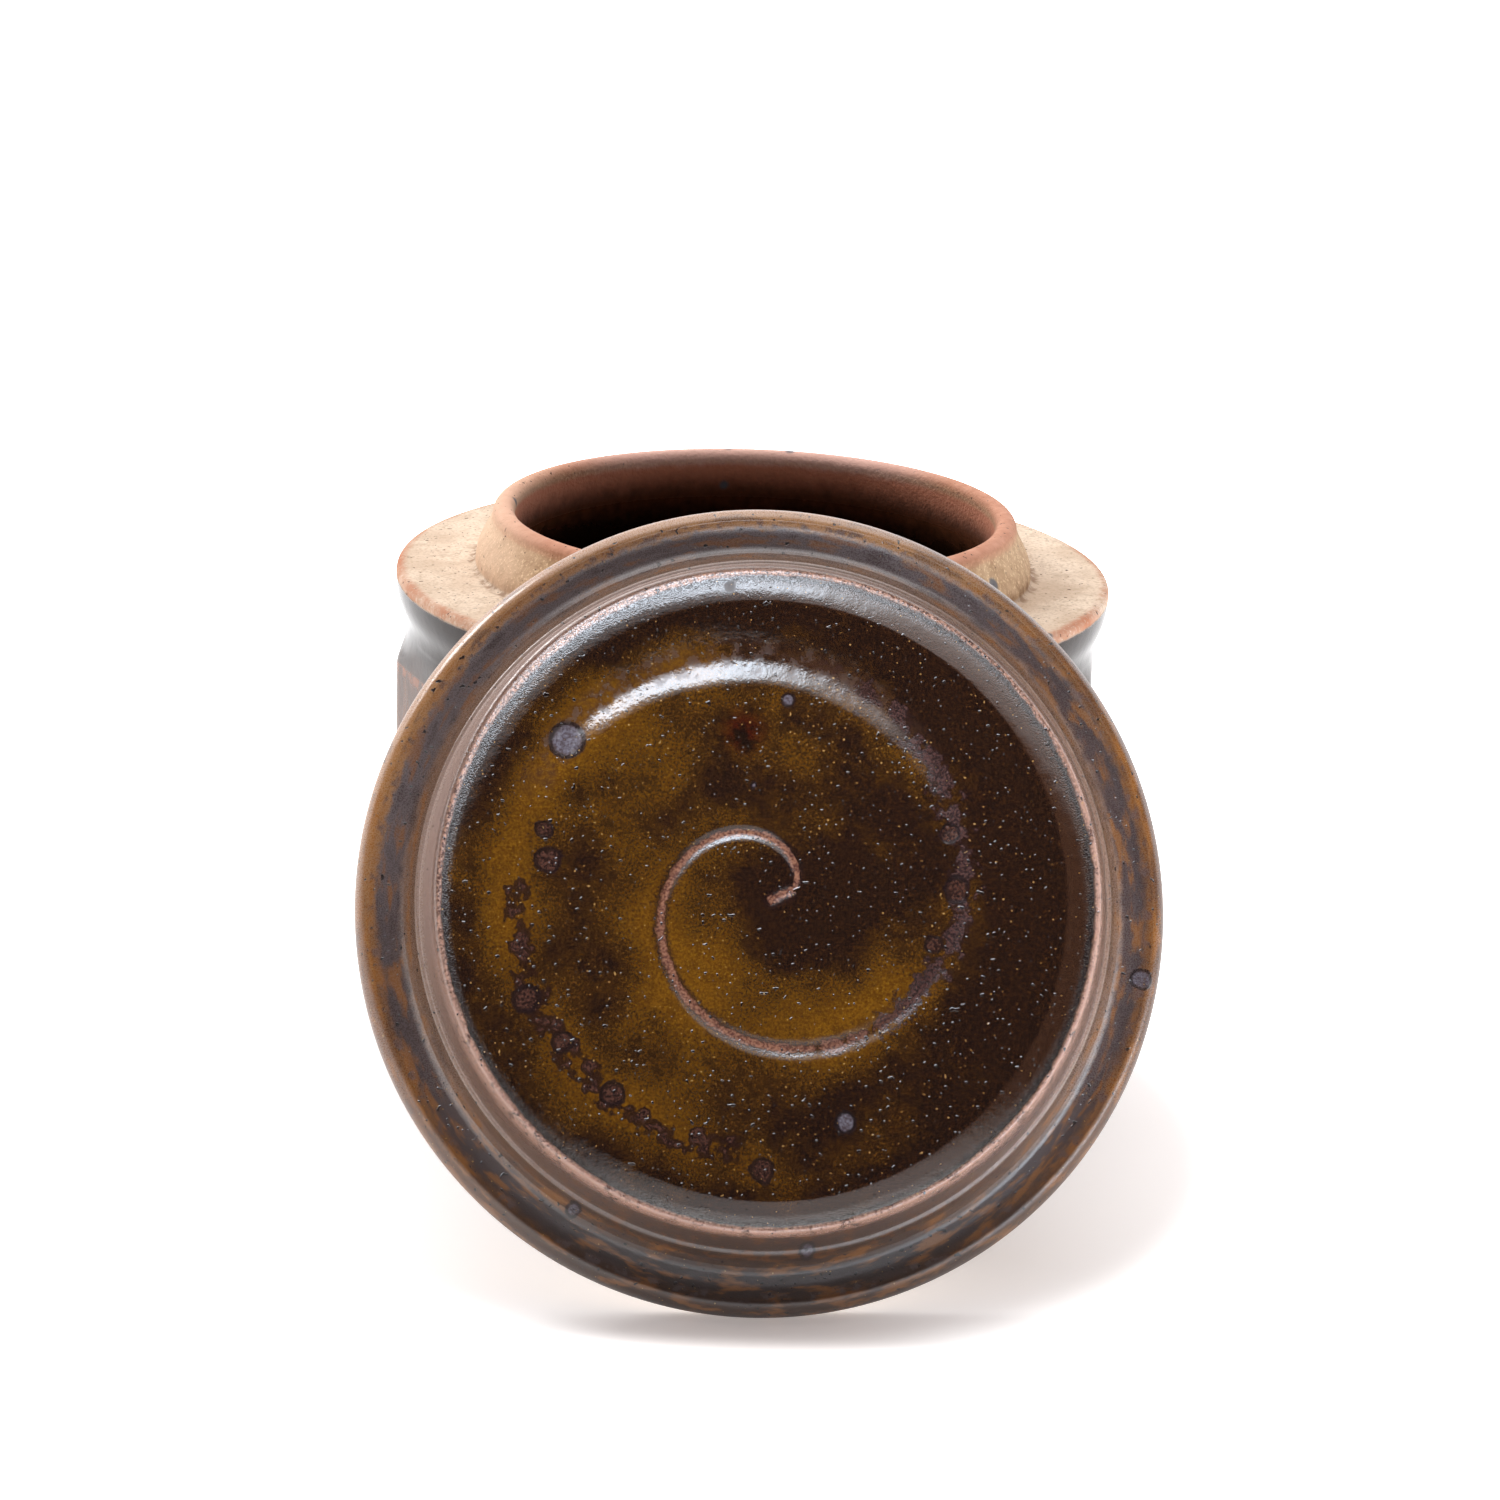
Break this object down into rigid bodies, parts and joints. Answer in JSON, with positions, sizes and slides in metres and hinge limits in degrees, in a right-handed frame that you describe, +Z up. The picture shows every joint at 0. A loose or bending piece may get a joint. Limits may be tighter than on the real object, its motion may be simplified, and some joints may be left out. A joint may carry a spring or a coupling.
{
  "type": "lidded stoneware crock",
  "caption": "Small wheel-thrown stoneware jar with cut sides, a flat ledge and a short neck, and its round cap lid, which leans against the jar's front.",
  "frame": {"origin": "centre of the jar's flat base, on the surface that it stands on", "axes": "+Z up along the jar's axis, -Y towards the front, where the lid leans, +X to the right"},
  "size_m": [0.1215, 0.1664, 0.1083],
  "materials": {
    "jar_glaze": "glossy brown iron glaze on the cut sides, with bare buff clay on the ledge, the neck and the foot",
    "lid_glaze": "glossy amber to black-brown iron glaze, breaking to pink-brown on the ridges"
  },
  "bodies": {
    "jar": {"jar": "jar_glaze"},
    "lid": {"lid": "lid_glaze"}
  },
  "joints": [
    {"name": "lid_lift", "type": "slide", "parent": "jar", "child": "lid", "axis": [0, 0, 1], "range_m": [0, 0.12]}
  ]
}
